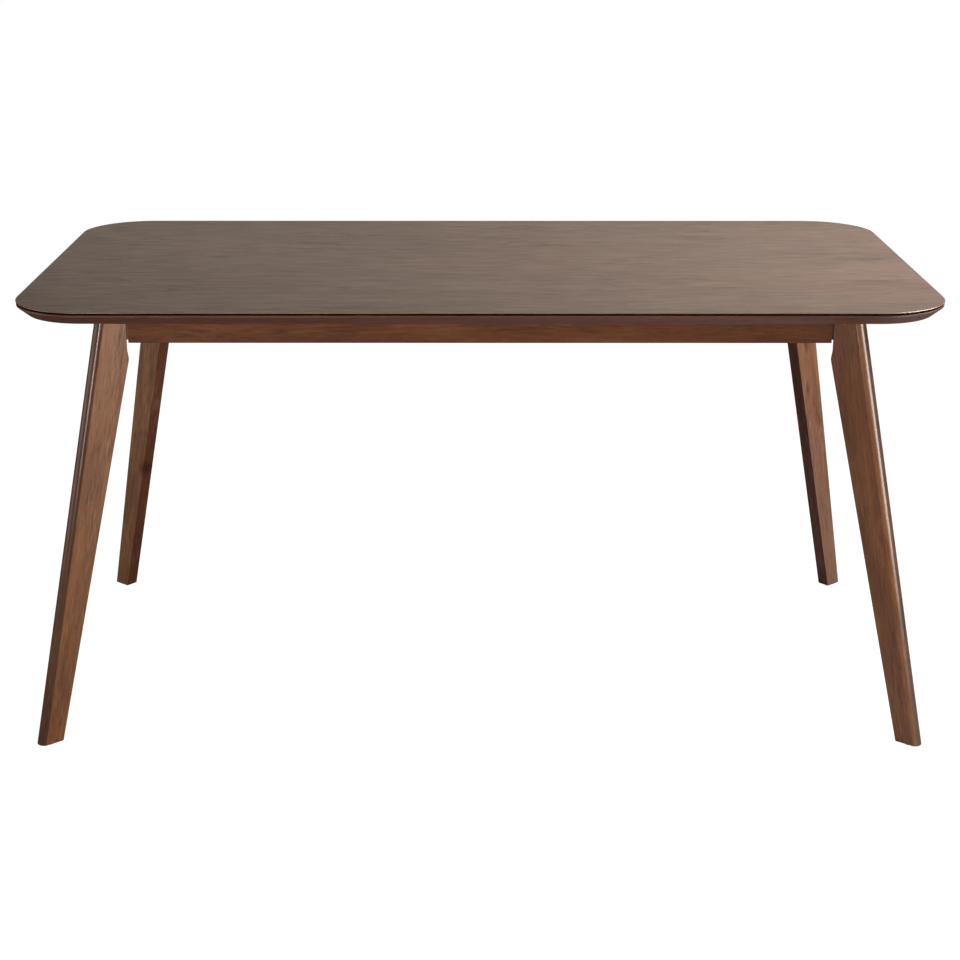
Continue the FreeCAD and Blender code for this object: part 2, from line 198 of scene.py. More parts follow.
def woodMaterial(name, look, turn=(0, 0, 0), attribute=None):
    # stained and lacquered wood, with the fibres along x after the turn
    material, tree, shader = startMaterial(name)
    if attribute:
        source = node(tree, "ShaderNodeAttribute", attribute_name=attribute).outputs["Vector"]
    else:
        source = node(tree, "ShaderNodeTexCoord").outputs["Object"]
    place = node(tree, "ShaderNodeMapping",
                 {"Vector": source, "Rotation": turn, "Location": look["start"]})
    place = place.outputs["Vector"]

    # the fibres wander slowly from side to side
    drift = cloud(tree, stretched(tree, place, look["wanderScale"]))
    drift = calc(tree, "MULTIPLY_ADD", drift, look["wander"], -look["wander"] / 2)
    shift = node(tree, "ShaderNodeCombineXYZ", {"Y": drift, "Z": drift}).outputs[0]
    place = node(tree, "ShaderNodeVectorMath", {0: place, 1: shift}, operation="ADD").outputs[0]

    # broad figure, growth bands, short dashes where pores are cut, and the fibres themselves
    figure = cloud(tree, stretched(tree, place, look["figureScale"]), detail=3.0, rough=0.55,
                   twist=0.6)
    bands = cloud(tree, stretched(tree, place, look["bandScale"]), detail=3.0, rough=0.6)
    dashes = cloud(tree, stretched(tree, place, look["dashScale"]))
    glints = cloud(tree, stretched(tree, place, look["dashScale"], wood["glintShift"]))
    crowd = cloud(tree, stretched(tree, place, look["crowdScale"]))
    fibre = cloud(tree, stretched(tree, place, look["fibreScale"]), rough=0.6)

    tone = calc(tree, "MULTIPLY", figure, look["figureShare"])
    tone = calc(tree, "MULTIPLY_ADD", bands, look["bandShare"], tone)
    tone = calc(tree, "MULTIPLY_ADD", fibre, look["fibreShare"], tone)
    colour = ramp(tree, tone, look["tones"])
    hue = cloud(tree, stretched(tree, place, look["hueScale"]))
    hue = span(tree, hue, *wood["hueSpan"], 0.0, look["hueShare"])
    colour = blended(tree, hue, colour, look["hueTint"], "MULTIPLY")

    crowded = span(tree, crowd, *wood["crowdSpan"], wood["crowdLeast"], 1.0)
    start = look["dashFrom"]
    dark = span(tree, dashes, start, start + wood["dashFade"], 0.0, look["dashShare"])
    dark = calc(tree, "MULTIPLY", dark, crowded)
    light = span(tree, glints, start, start + wood["glintFade"], 0.0, look["glintShare"])
    light = calc(tree, "MULTIPLY", light, crowded)
    colour = blended(tree, dark, colour, look["dashTint"], "MULTIPLY")
    colour = blended(tree, light, colour, look["glintTint"], "SCREEN")
    for mark in look.get("marks", ()):
        colour = blended(tree, markShare(tree, place, look, mark), colour, look["dashTint"],
                         "MULTIPLY")
    tree.links.new(colour, shader.inputs["Base Color"])

    rough = span(tree, bands, *wood["bandSpan"], look["roughness"] + wood["roughSwing"],
                 look["roughness"] - wood["roughSwing"])
    rough = calc(tree, "MULTIPLY_ADD", dark, wood["poreRough"], rough)
    tree.links.new(rough, shader.inputs["Roughness"])
    height = calc(tree, "MULTIPLY_ADD", dark, -1.0, fibre)
    bump = node(tree, "ShaderNodeBump",
                {"Height": height, "Strength": look["bump"], "Distance": wood["bumpHeight"]})
    tree.links.new(bump.outputs["Normal"], shader.inputs["Normal"])
    shader.inputs["IOR"].default_value = wood["refraction"]
    shader.inputs["Specular IOR Level"].default_value = look["gloss"]
    shader.inputs["Coat Weight"].default_value = look["coat"]
    shader.inputs["Coat Roughness"].default_value = look["coatRoughness"]
    return material


def markShare(tree, place, look, mark):
    # soft long darker mark in the figure, with a ragged edge
    centre = Vector(mark["place"]) + Vector(look["start"])
    scale = [1 / size for size in mark["size"]]
    offset = [-along * factor for along, factor in zip(centre, scale)]
    near = node(tree, "ShaderNodeVectorMath", {0: stretched(tree, place, scale, offset)},
                operation="LENGTH").outputs["Value"]
    ragged = cloud(tree, stretched(tree, place, wood["raggedScale"]), detail=3.0, rough=0.6)
    near = calc(tree, "SUBTRACT", near, wood["ragged"] / 2)
    near = calc(tree, "MULTIPLY_ADD", ragged, wood["ragged"], near)
    return span(tree, near, wood["markFrom"], 1.0, mark["share"], 0.0)


veneerLook = dict(
    start=(0.3, 0.1, 0.2), wander=0.03, wanderScale=(1.2, 5, 5),
    figureScale=(2.2, 12, 12), bandScale=(14, 75, 75), dashScale=(22, 180, 180),
    crowdScale=(5, 14, 14), fibreScale=(50, 450, 450), hueScale=(4, 11, 11),
    figureShare=0.42, bandShare=0.32, fibreShare=0.26,
    tones=((0.34, (0.104, 0.070, 0.053)), (0.50, (0.128, 0.088, 0.068)),
           (0.66, (0.155, 0.107, 0.084))),
    hueShare=0.9, hueTint=(1.04, 0.96, 0.92), dashFrom=0.58, dashShare=0.55,
    dashTint=(0.50, 0.47, 0.45), glintShare=0.06, glintTint=(0.5, 0.45, 0.40),
    roughness=0.48, gloss=0.28, bump=0.20, coat=0.0, coatRoughness=0.3,
    marks=(dict(place=(0.664, 0.022, 0.75), size=(0.075, 0.020, 0.05), share=0.65),
           dict(place=(0.668, -0.175, 0.75), size=(0.080, 0.034, 0.05), share=0.50)),
)
edgeLook = dict(
    veneerLook, start=(0.7, 0.3, 0.1), marks=(), wander=0.004,
    figureScale=(3, 60, 60), bandScale=(9, 330, 330), dashScale=(30, 600, 600),
    fibreScale=(60, 1100, 1100),
    tones=((0.34, (0.071, 0.028, 0.019)), (0.50, (0.095, 0.039, 0.025)),
           (0.66, (0.120, 0.053, 0.034))),
    roughness=0.42,
)
# the lip's rounding: the top's wood made lighter than the veneer as a painted highlight, under a
# glossy coat
lipHighlightLook = dict(
    edgeLook, coat=1.0, coatRoughness=0.22,
    tones=((0.34, (0.150, 0.092, 0.066)), (0.50, (0.185, 0.118, 0.088)),
           (0.66, (0.220, 0.145, 0.110))),
)
apronLook = dict(
    veneerLook, start=(0.1, 0.5, 0.6), marks=(), wander=0.022, wanderScale=(3, 9, 9),
    figureScale=(4, 26, 26), bandScale=(10, 200, 200), dashScale=(24, 380, 380),
    crowdScale=(5, 40, 40), hueScale=(7, 60, 60), hueShare=0.9, hueTint=(0.94, 1.14, 0.96),
    tones=((0.34, (0.067, 0.021, 0.011)), (0.50, (0.109, 0.037, 0.017)),
           (0.66, (0.159, 0.059, 0.027))),
    roughness=0.45, gloss=0.18, dashShare=0.7, dashFrom=0.56, glintShare=0.03,
    fibreScale=(60, 500, 500),
)
legLook = dict(
    veneerLook, start=(0.2, 0.9, 0.4), marks=(), wander=0.012, wanderScale=(3, 14, 14),
    figureScale=(7, 38, 38), bandScale=(14, 220, 220), dashScale=(34, 360, 360),
    crowdScale=(7, 24, 24), hueScale=(8, 34, 34), figureShare=0.46, bandShare=0.30,
    fibreShare=0.24,
    tones=((0.34, (0.098, 0.039, 0.017)), (0.50, (0.156, 0.065, 0.030)),
           (0.66, (0.224, 0.101, 0.049))),
    roughness=0.50, gloss=0.15, dashFrom=0.53, dashShare=0.72, coat=1.0, coatRoughness=0.24,
    glintShare=0.08, fibreScale=(60, 500, 500),
)
# what differs from leg to leg: tint, strokes, painted shade (front left) and painted light
# (front right) on the outer edge next to the front side, painted shade on its rim, and marks
# with places from the leg's seat
legFigures = {
    "front_left": dict(
        tint=(1.12, 1.13, 0.92), dashShare=0.85, edgeLightShade=(0.45, 0.42, 0.42),
        rimShade=(0.55, 0.50, 0.55), rimCoat=0.3),
    "front_right": dict(
        tint=(1.24, 1.16, 1.00), dashShare=0.60, edgeLightShade=(1.05, 1.18, 1.12),
        rimShade=(0.42, 0.50, 0.75), rimCoat=1.0,
        marks=(dict(place=(0.155, 0.0125, 0.22), size=(0.045, 0.05, 0.014), share=0.5),
               dict(place=(0.050, 0.0125, 0.50), size=(0.050, 0.05, 0.012), share=0.4))),
    "back_left": dict(
        tint=(1.30, 1.46, 1.40),
        marks=(dict(place=(0.095, 0.006, 0.268), size=(0.020, 0.03, 0.012), share=1.0),)),
    "back_right": dict(
        tint=(0.83, 0.92, 1.04),
        marks=(dict(place=(0.052, -0.0125, 0.53), size=(0.024, 0.05, 0.008), share=0.8),
               dict(place=(0.066, -0.0125, 0.44), size=(0.022, 0.05, 0.007), share=0.8))),
}
# painted shade: the legs' inner edges, which face in under the table, take the wood darkened by
# this tint
innerEdgeShade = dict(tint=(0.52, 0.38, 0.38), coat=0.3)
# darker than the aprons: partly a stain, partly painted shade where the block's nose shows in the
# gap beside each leg
blockShadeLook = dict(
    legLook, start=(0.6, 0.2, 0.8), coat=0.0, roughness=0.6, gloss=0.25, dashFrom=0.60,
    dashShare=0.55,
    tones=((0.32, (0.040, 0.018, 0.011)), (0.50, (0.060, 0.028, 0.017)),
           (0.68, (0.085, 0.042, 0.026))),
)
railLook = dict(
    blockShadeLook, start=(0.4, 0.6, 0.2),
    tones=((0.32, (0.085, 0.042, 0.026)), (0.50, (0.115, 0.060, 0.037)),
           (0.68, (0.150, 0.084, 0.053))),
)
dowelLook = dict(
    blockShadeLook, start=(0.4, 0.7, 0.1),
    tones=((0.32, (0.42, 0.28, 0.16)), (0.50, (0.52, 0.36, 0.22)), (0.68, (0.60, 0.44, 0.29))),
)
backingLook = dict(
    veneerLook, start=(0.9, 0.4, 0.3), marks=(), roughness=0.55, gloss=0.3,
    tones=((0.34, (0.060, 0.030, 0.021)), (0.50, (0.082, 0.042, 0.029)),
           (0.66, (0.108, 0.058, 0.041))),
)
# near-black wood as painted shade in the groove and on the lower half of the lip
grooveShadeLook = dict(
    edgeLook, roughness=0.8, gloss=0.05,
    tones=((0.34, (0.004, 0.002, 0.002)), (0.50, (0.006, 0.003, 0.002)),
           (0.66, (0.009, 0.004, 0.003))),
)


def tinted(look, tint):
    # the same wood with its tones multiplied by a tint
    tones = tuple((stop, tuple(a * b for a, b in zip(tone, tint))) for stop, tone in look["tones"])
    return dict(look, tones=tones)


sheen = dict(mottleSpan=(0.3, 0.7), smoother=0.06, rougher=0.08, bumpHeight=0.03 * mm)


def plainMaterial(name, look):
    # metal or moulded plastic with a fine mottle in tone, roughness and surface
    material, tree, shader = startMaterial(name)
    place = node(tree, "ShaderNodeTexCoord").outputs["Object"]
    mottle = cloud(tree, stretched(tree, place, (look["mottle"],) * 3), detail=4.0, rough=0.6)
    tree.links.new(ramp(tree, mottle, look["tones"]), shader.inputs["Base Color"])
    rough = span(tree, mottle, *sheen["mottleSpan"], look["roughness"] - sheen["smoother"],
                 look["roughness"] + sheen["rougher"])
    tree.links.new(rough, shader.inputs["Roughness"])
    bump = node(tree, "ShaderNodeBump",
                {"Height": mottle, "Strength": look["bump"], "Distance": sheen["bumpHeight"]})
    tree.links.new(bump.outputs["Normal"], shader.inputs["Normal"])
    shader.inputs["Metallic"].default_value = look["metallic"]
    return material


zincLook = dict(mottle=900, metallic=1.0, roughness=0.36, bump=0.3,
                tones=((0.35, (0.46, 0.47, 0.48)), (0.65, (0.66, 0.67, 0.68))))
glideLook = dict(mottle=1500, metallic=0.0, roughness=0.45, bump=0.5,
                 tones=((0.35, (0.035, 0.022, 0.016)), (0.65, (0.055, 0.036, 0.027))))


# tabletop: face veneer with the lip's upper rounding, and the board under it

top = dict(
    cornerRadius=120 * mm, veneer=0.6 * mm, lip=2.6 * mm, lipRound=1.2 * mm,
    groove=2.2 * mm, grooveDepth=3.5 * mm, setback=0.8 * mm, edge=3.2 * mm,
    boardRound=1.3 * mm, bevelInset=18 * mm, bevelRound=1.5 * mm, flatFrom=12 * mm,
    cornerSteps=28, roundSteps=6, levelGap=0.001 * mm,
)


def outlinePoints(inset):
    # rounded rectangle from the middle of the back edge, and the way along it to each point
    halfX, halfY = cadHigh.x - inset, cadHigh.y - inset
    radius = top["cornerRadius"] - inset
    points = [(0.0, halfY)]
    for sx, sy, first in ((1, 1, 90), (1, -1, 0), (-1, -1, -90), (-1, 1, -180)):
        centre = (sx * (halfX - radius), sy * (halfY - radius))
        points += arc(centre, radius, first, first - 90, top["cornerSteps"])
    points.append((0.0, halfY))
    way = [0.0]
    for before, after in zip(points, points[1:]):
        way.append(way[-1] + math.dist(before, after))
    return points[:-1], way


def edgeSolid(profile, levels):
    # closed solid from its edge section, a list of insets and heights from top to bottom;
    # the material's number rises by one below each level
    bm = bmesh.new()
    grain = bm.loops.layers.float_vector.new("grain")
    way = outlinePoints(0)[1]
    rings = addSolid(bm, [[(x, y, height) for x, y in outlinePoints(inset)[0]]
                          for inset, height in profile])
    down = [0.0]
    for before, after in zip(profile, profile[1:]):
        down.append(down[-1] + math.dist(before, after))
    places = {}
    for ring, depth in zip(rings, down):
        for vert, along in zip(ring, way):
            places[vert] = (along, depth)
    for face in bm.faces:
        if len(face.verts) > 4:
            continue
        closing = max(places[vert][0] for vert in face.verts) > way[-1] / 2
        for loop in face.loops:
            along, depth = places[loop.vert]
            loop[grain] = (way[-1] if closing and along == 0 else along, depth, 0.0)
        height = face.calc_center_median().z
        face.material_index = sum(height < level for level in levels)
    return bm


def makeTabletop():
    height = cadHigh.z
    radius = top["lipRound"]
    split = 90 + math.degrees(math.acos(1 - top["veneer"] / radius))
    lipBottom = height - top["lip"]
    boardTop = lipBottom - top["groove"]
    steps = top["roundSteps"]
    upper = (radius, height - radius)
    lower = (radius, lipBottom + radius)
    board = (top["setback"] + top["boardRound"], boardTop - top["boardRound"])
    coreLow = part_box("top_core")[0].z
    bevelTop = (top["setback"], boardTop - top["edge"])
    slope = (top["bevelInset"] - top["setback"]) / (bevelTop[1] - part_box("backing_veneer")[0].z)

    faceProfile = [(top["flatFrom"], height)] + arc(upper, radius, 90, split, steps)
    faceProfile += [(top["flatFrom"], height - top["veneer"])]
    boardProfile = [(top["flatFrom"], height - top["veneer"])]
    boardProfile += arc(upper, radius, split, 180, steps)
    boardProfile += arc(lower, radius, 180, 270, steps)
    boardProfile += [(top["grooveDepth"], lipBottom), (top["grooveDepth"], boardTop)]
    boardProfile += arc(board, top["boardRound"], 90, 180, steps)
    boardProfile += [(bevelTop[0], bevelTop[1] + top["bevelRound"] / 2), bevelTop,
                     (bevelTop[0] + top["bevelRound"] * slope, bevelTop[1] - top["bevelRound"]),
                     (bevelTop[0] + (bevelTop[1] - coreLow) * slope, coreLow)]
    # the lip's lighter wood is a painted highlight along the top's edge
    lipHighlightWood = woodMaterial("lipEdgeHighlight", lipHighlightLook, attribute="grain")
    face = edgeSolid(faceProfile, [height - top["levelGap"]])
    newPiece("tabletopFace", face,
             [woodMaterial("walnutVeneer", veneerLook), lipHighlightWood], ["top_veneer"])
    # painted shade: the groove's near-black wood reaches up the lower half of the lip
    body = edgeSolid(boardProfile, [height - top["lip"] / 2, boardTop + top["levelGap"]])
    newPiece("tabletopBoard", body,
             [lipHighlightWood, woodMaterial("grooveNearBlackShade", grooveShadeLook, attribute="grain"),
              woodMaterial("boardEdge", edgeLook, attribute="grain")], ["top_core"])


makeTabletop()
print("tabletop made")


# legs: one plank with a rounded outer edge, turned to its corner and seated there

leg = dict(
    direction=40, lean=12.5, thickness=25 * mm, edgeRise=10 * mm, edgeSteps=24,
    foot=2 * mm, footWidth=41.5 * mm, footSoft=0.9 * mm, kneeWidth=67 * mm,
    knee=641 * mm, kneeRise=15 * mm, kneeStep=2.5 * mm, kneeSoft=3 * mm, kneeSteps=6,
    stopSoft=1 * mm, top=728 * mm, arris=1.2 * mm, arrisSteps=4,
    seat=(586.36 * mm, 256.57 * mm),
    # the edges' faces within these limits take painted light and shade
    innerFrom=0.8, outerFrom=0.3, rimTo=0.59,  # limits in the normals of the edges' faces
    figureStep=(0.37, 0.0, 0.21),
)
corners = {"front_left": (-1, -1), "front_right": (1, -1), "back_left": (-1, 1),
           "back_right": (1, 1)}


def legSeat(corner):
    # from a leg's own place, x outward and z up, to its corner of the table
    sx, sy = corners[corner]
    angle = math.radians(leg["direction"])
    turn = Matrix.Rotation(math.atan2(sy * math.sin(angle), sx * math.cos(angle)), 4, "Z")
    return Matrix.Translation((sx * leg["seat"][0], sy * leg["seat"][1], 0)) @ turn


def legOuterEdge(height):
    reach = leg["kneeWidth"] - leg["kneeStep"]
    return reach + (leg["knee"] - height) * math.tan(math.radians(leg["lean"]))


def legInnerEdge():
    # heights and distances of the inner edge from foot to top, soft at the knee
    soft = leg["kneeSoft"]
    foot = (leg["foot"], legOuterEdge(leg["foot"]) - leg["footWidth"])
    knee = (leg["knee"], -leg["kneeStep"])
    stop = (leg["knee"] + leg["kneeRise"], 0.0)
    slant = (foot[1] - knee[1]) / (foot[0] - knee[0])
    points = [(leg["foot"] + leg["footSoft"], foot[1] + slant * leg["footSoft"])]
    under = (knee[0] - soft, knee[1] - slant * soft)
    over = (knee[0] + soft, knee[1] * (1 - soft / leg["kneeRise"]))
    for step in range(leg["kneeSteps"] + 1):
        share = step / leg["kneeSteps"]
        points.append(tuple((1 - share) ** 2 * a + 2 * share * (1 - share) * b + share ** 2 * c
                            for a, b, c in zip(under, knee, over)))
    soft = leg["stopSoft"]
    points += [(stop[0] - soft, knee[1] * soft / leg["kneeRise"]), (stop[0] + soft, 0.0),
               (leg["top"], 0.0)]
    return points


def legSection(inner, outer, height, narrower=0.0):
    # level section: soft arrises on the inner edge, a broad arc on the outer edge
    half = leg["thickness"] / 2 - narrower
    rise, soft = leg["edgeRise"], leg["arris"]
    radius = (leg["thickness"] ** 2 / 4 + rise ** 2) / (2 * rise)
    blend = math.sqrt((radius - soft) ** 2 - (leg["thickness"] / 2 - soft) ** 2)
    tangent = math.degrees(math.atan2(leg["thickness"] / 2 - soft, blend))
    steps = leg["arrisSteps"]
    edge = arc((blend - radius, half - soft), soft, 90, tangent, steps)
    edge += arc((-radius, 0), radius, tangent, -tangent, leg["edgeSteps"])[1:-1]
    edge += arc((blend - radius, soft - half), soft, -tangent, -90, steps)
    stretch = 1 / math.cos(math.radians(leg["lean"]))
    section = [(outer - narrower + x * stretch, y, height) for x, y in edge]
    start = inner + narrower + soft
    section += [(x, y, height) for x, y in arc((start, soft - half), soft, 270, 180, steps)]
    section += [(x, y, height) for x, y in arc((start, half - soft), soft, 180, 90, steps)]
    return section


def legShadePart(face, front):
    # 0 broad sides, 1 inner edge with painted shade, 2 outer edge next to the front side with
    # painted shade on the front-left leg and painted light on the front-right, 3 the rest of
    # it with painted shade
    middle, normal = face.calc_center_median(), face.normal
    if middle.x < legOuterEdge(middle.z) - leg["footWidth"] / 2:
        return int(abs(normal.x) > leg["innerFrom"])
    if normal.x < leg["outerFrom"]:
        return 0
    return 2 if normal.y * front > leg["rimTo"] else 3


def makeLegs():
    for number, corner in enumerate(corners):
        bm = bmesh.new()
        low = leg["foot"]
        inner = legOuterEdge(low) - leg["footWidth"]
        rings = [legSection(inner, legOuterEdge(low), low, leg["footSoft"])]
        rings += [legSection(inner, legOuterEdge(height), height)
                  for height, inner in legInnerEdge()]
        addSolid(bm, rings)
        bmesh.ops.recalc_face_normals(bm, faces=bm.faces)
        seat = legSeat(corner)
        # the turn lays the leaning length on x
        lay = Matrix.Rotation(math.radians(90 + leg["lean"]), 3, "Y")
        turn = lay @ seat.to_3x3().inverted()
        figure = legFigures[corner]
        marks = [dict(mark, place=turn @ seat.translation + lay @ Vector(mark["place"]))
                 for mark in figure.get("marks", ())]
        start = [a + number * b for a, b in zip(legLook["start"], leg["figureStep"])]
        look = tinted(dict(legLook, **dict(figure, marks=marks, start=start)), figure["tint"])
        # a darker copy of the leg's wood as painted shade on the inner edge
        darker = tinted(dict(look, coat=innerEdgeShade["coat"]), innerEdgeShade["tint"])
        looks = {"legWood_": look, "legInnerEdgeShade_": darker}
        # painted shade or light on the outer edge next to the front side, painted shade on its rim
        if "rimShade" in figure:
            looks["legOuterEdge_"] = tinted(look, figure["edgeLightShade"])
            looks["legRim_"] = tinted(dict(look, coat=figure["rimCoat"]), figure["rimShade"])
        for face in bm.faces:
            part = legShadePart(face, -corners[corner][0])
            face.material_index = part if part < len(looks) else 0
        newPiece("plankLeg_" + corner, bm,
                 [woodMaterial(name + corner, one, turn.to_euler())
                  for name, one in looks.items()],
                 ["leg_" + corner], smoothAngle=40, seats=[seat])


makeLegs()
print("legs made")


# carried-over CAD nodes: soft shading and their own finishes

alongY = (0, 0, math.radians(-90))
upright = (0, math.radians(90), 0)


def finishNode(name, material, angle=32):
    piece = cadNodes[name]
    piece.data.materials.clear()
    piece.data.materials.append(material)
    softShade(piece, angle)


def finishWood():
    apronX = woodMaterial("apronAlongX", apronLook)
    apronY = woodMaterial("apronAlongY", dict(apronLook, start=(0.8, 0.1, 0.3)), alongY)
    for side, material in (("front", apronX), ("back", apronX), ("left", apronY),
                           ("right", apronY)):
        finishNode("apron_" + side, material)
    # the blocks' very dark wood is partly painted shade for the gap beside each leg
    blockShadeWood = woodMaterial("blockShadeWood", blockShadeLook, upright)
    for corner in corners:
        finishNode("corner_block_" + corner, blockShadeWood)
    finishNode("centre_rail", woodMaterial("railWood", railLook, alongY))
    finishNode("backing_veneer", woodMaterial("backingVeneer", backingLook))
    dowelWood = woodMaterial("dowelBeech", dowelLook)
    for name in ("block_dowels", "rail_dowels"):
        finishNode(name, dowelWood)


finishWood()
print("aprons, blocks, rail and backing finished")


# fittings: turned, threaded and bent pieces, each made once and repeated at its seats

fitting = dict(
    boltHeights=(713 * mm, 688 * mm), blockDepth=52 * mm, washer=1.6 * mm, washerRadius=8 * mm,
    lock=2 * mm, lockRadius=6.5 * mm, lockGap=18, nut=6.5 * mm, nutFlats=13 * mm,
    boltRadius=4 * mm, boltProud=3 * mm, boltInLeg=34 * mm, pitch=1.25 * mm, thread=0.6 * mm,
    round=32, softSteps=3, pitchSteps=6, endShare=0.82, runOut=0.3 * mm, cone=5 * mm, tip=0.2 * mm,
    tipRadius=0.5 * mm, nutSteps=48, nutChamfer=30, nutFaceShare=0.97, nutBoreShare=0.9,
    washerPlay=0.2 * mm, washerSoft=0.35 * mm, lockPlay=0.1 * mm, lockSoft=0.3 * mm,
)


def about(x, radius, swing):
    # point at a place along x and a radius from it, swung about x
    return (x, radius * math.cos(swing), radius * math.sin(swing))


def threadDip(x, pitch, swing):
    # 0 at a thread's crest, 1 at its root
    return abs((x / pitch - swing / math.tau) % 1.0 - 0.5) * 2


def zincPiece(name, bm, replaced, seats, smoothAngle=35):
    newPiece(name, bm, [zinc], [replaced], smoothAngle, seats)


def turned(bm, profile, first=0.0, last=360.0):
    # closed section of distances and radii, turned about x from one angle to another
    steps = fitting["round"]
    rings = []
    for step in range(steps + 1):
        swing = math.radians(first + (last - first) * step / steps)
        rings.append([about(x, radius, swing) for x, radius in profile])
    if last - first < 360:
        addSolid(bm, rings)
    else:
        addRings(bm, rings)


def ringSection(low, high, inner, outer, soft):
    section = arc((high - soft, outer - soft), soft, 0, 90, fitting["softSteps"])
    section += arc((low + soft, outer - soft), soft, 90, 180, fitting["softSteps"])
    return section + [(low, inner), (high, inner)]


def makeBolts(seats):
    bm = bmesh.new()
    plain = -fitting["blockDepth"]
    end = plain - fitting["washer"] - fitting["lock"] - fitting["nut"] - fitting["boltProud"]
    radius, depth, pitch = fitting["boltRadius"], fitting["thread"], fitting["pitch"]
    steps = fitting["pitchSteps"]
    stations = [end + pitch * step / steps
                for step in range(int((plain - end) / pitch * steps) + 1)]
    turns = [math.tau * step / fitting["round"] for step in range(fitting["round"])]
    share = fitting["endShare"]
    rings = []
    for x in stations:
        taper = min(1.0, share + (1 - share) * (x - end) / pitch)
        dips = [threadDip(x - end, pitch, turn) for turn in turns]
        rings.append([about(x, (radius - depth * dip) * taper, turn)
                      for dip, turn in zip(dips, turns)])
    inLeg = fitting["boltInLeg"]
    for x, reach in ((stations[-1] + fitting["runOut"], radius),
                     (inLeg - fitting["cone"], radius),
                     (inLeg - fitting["tip"], fitting["tipRadius"])):
        rings.append([about(x, reach, turn) for turn in turns])
    addSolid(bm, rings)
    zincPiece("hangerBolts", bm, "hanger_bolts", seats, smoothAngle=50)


def makeNuts(seats):
    bm = bmesh.new()
    near = -fitting["blockDepth"] - fitting["washer"] - fitting["lock"]
    far = near - fitting["nut"]
    flat = fitting["nutFlats"] / 2
    faceRadius = flat * fitting["nutFaceShare"]
    bore = fitting["boltRadius"] * fitting["nutBoreShare"]
    rings = [[], [], [], [], [], []]
    for step in range(fitting["nutSteps"]):
        swing = math.tau * step / fitting["nutSteps"]
        corner = flat / math.cos((swing + math.pi / 6) % (math.pi / 3) - math.pi / 6)
        slope = max(0.0, corner - faceRadius) * math.tan(math.radians(fitting["nutChamfer"]))
        for ring, (x, radius) in zip(rings, (
                (near, bore), (near, faceRadius), (near - slope, corner), (far + slope, corner),
                (far, faceRadius), (far, bore))):
            ring.append(about(x, radius, swing))
    addRings(bm, rings + [rings[0]])
    zincPiece("hexNuts", bm, "hex_nuts", seats, smoothAngle=25)


def makeWashers(seats):
    near = -fitting["blockDepth"]
    bm = bmesh.new()
    bore = fitting["boltRadius"] + fitting["washerPlay"]
    turned(bm, ringSection(near - fitting["washer"], near, bore, fitting["washerRadius"],
                           fitting["washerSoft"]))
    zincPiece("flatWashers", bm, "flat_washers", seats)
    near -= fitting["washer"]
    bm = bmesh.new()
    bore = fitting["boltRadius"] + fitting["lockPlay"]
    section = ringSection(near - fitting["lock"], near, bore, fitting["lockRadius"],
                          fitting["lockSoft"])
    turned(bm, section, fitting["lockGap"] / 2, 360 - fitting["lockGap"] / 2)
    zincPiece("lockWashers", bm, "lock_washers", seats)


screw = dict(
    crossWidth=0.55 * mm, crossLength=2.2 * mm, crossDepth=1.3 * mm, crossFloorShare=0.45,
    crossAngles=(0, 14, 30, 45, 60, 76), crossEndShare=1.02, shank=2 * mm, thread=0.5 * mm,
    pitch=1.6 * mm, pitchSteps=6, tipRadius=0.2 * mm,
)
blockScrew = dict(length=28 * mm, point=3 * mm,
                  head=((0, 3.8 * mm), (0.2 * mm, 4.0 * mm), (2.4 * mm, 2.0 * mm)))
clipScrew = dict(length=16 * mm, point=2.5 * mm, headHeight=2.2 * mm, headRadius=4 * mm,
                 headRound=1.5 * mm, headSteps=5)


def makeScrew(bm, head, length, point):
    # screw along x: cross recess, turned head, threaded shank and point
    swings = [math.radians(angle + 90 * turn) for turn in range(4)
              for angle in screw["crossAngles"]]
    arm, half, share = screw["crossLength"], screw["crossWidth"], screw["crossFloorShare"]
    armEnd = arm * screw["crossEndShare"]
    cross = [arm, armEnd, half * 2, half * math.sqrt(2), half * 2, armEnd] * 4
    face = head[0][0]
    rings = [[about(face + screw["crossDepth"], radius * share, swing)
              for radius, swing in zip(cross, swings)],
             [about(face, radius, swing) for radius, swing in zip(cross, swings)]]
    rings += [[about(x, radius, swing) for swing in swings] for x, radius in head]
    climb = screw["pitch"] / screw["pitchSteps"]
    x = head[-1][0] + climb
    while x < length - point:
        dips = [threadDip(x, screw["pitch"], swing) for swing in swings]
        rings.append([about(x, screw["shank"] - screw["thread"] * dip, swing)
                      for dip, swing in zip(dips, swings)])
        x += climb
    rings.append([about(length, screw["tipRadius"], swing) for swing in swings])
    addSolid(bm, rings)


def makeBlockScrews(seats):
    bm = bmesh.new()
    makeScrew(bm, blockScrew["head"], blockScrew["length"], blockScrew["point"])
    zincPiece("blockScrews", bm, "block_screws", seats)


def makeClipScrews(seats):
    bm = bmesh.new()
    soft = clipScrew["headRound"]
    centre = (soft - clipScrew["headHeight"], clipScrew["headRadius"] - soft)
    head = arc(centre, soft, 180, 90, clipScrew["headSteps"])
    head += [(0.0, clipScrew["headRadius"]), (0.0, screw["shank"])]
    makeScrew(bm, head, clipScrew["length"], clipScrew["point"])
    zincPiece("clipScrews", bm, "clip_screws", seats)


clip = dict(
    width=18 * mm, gauge=2 * mm, step=9 * mm, tongue=9 * mm, flange=22 * mm, standoff=3 * mm,
    bend=1.0 * mm, outerSteps=6, innerSteps=4, soft=0.25 * mm, softSteps=2,
)


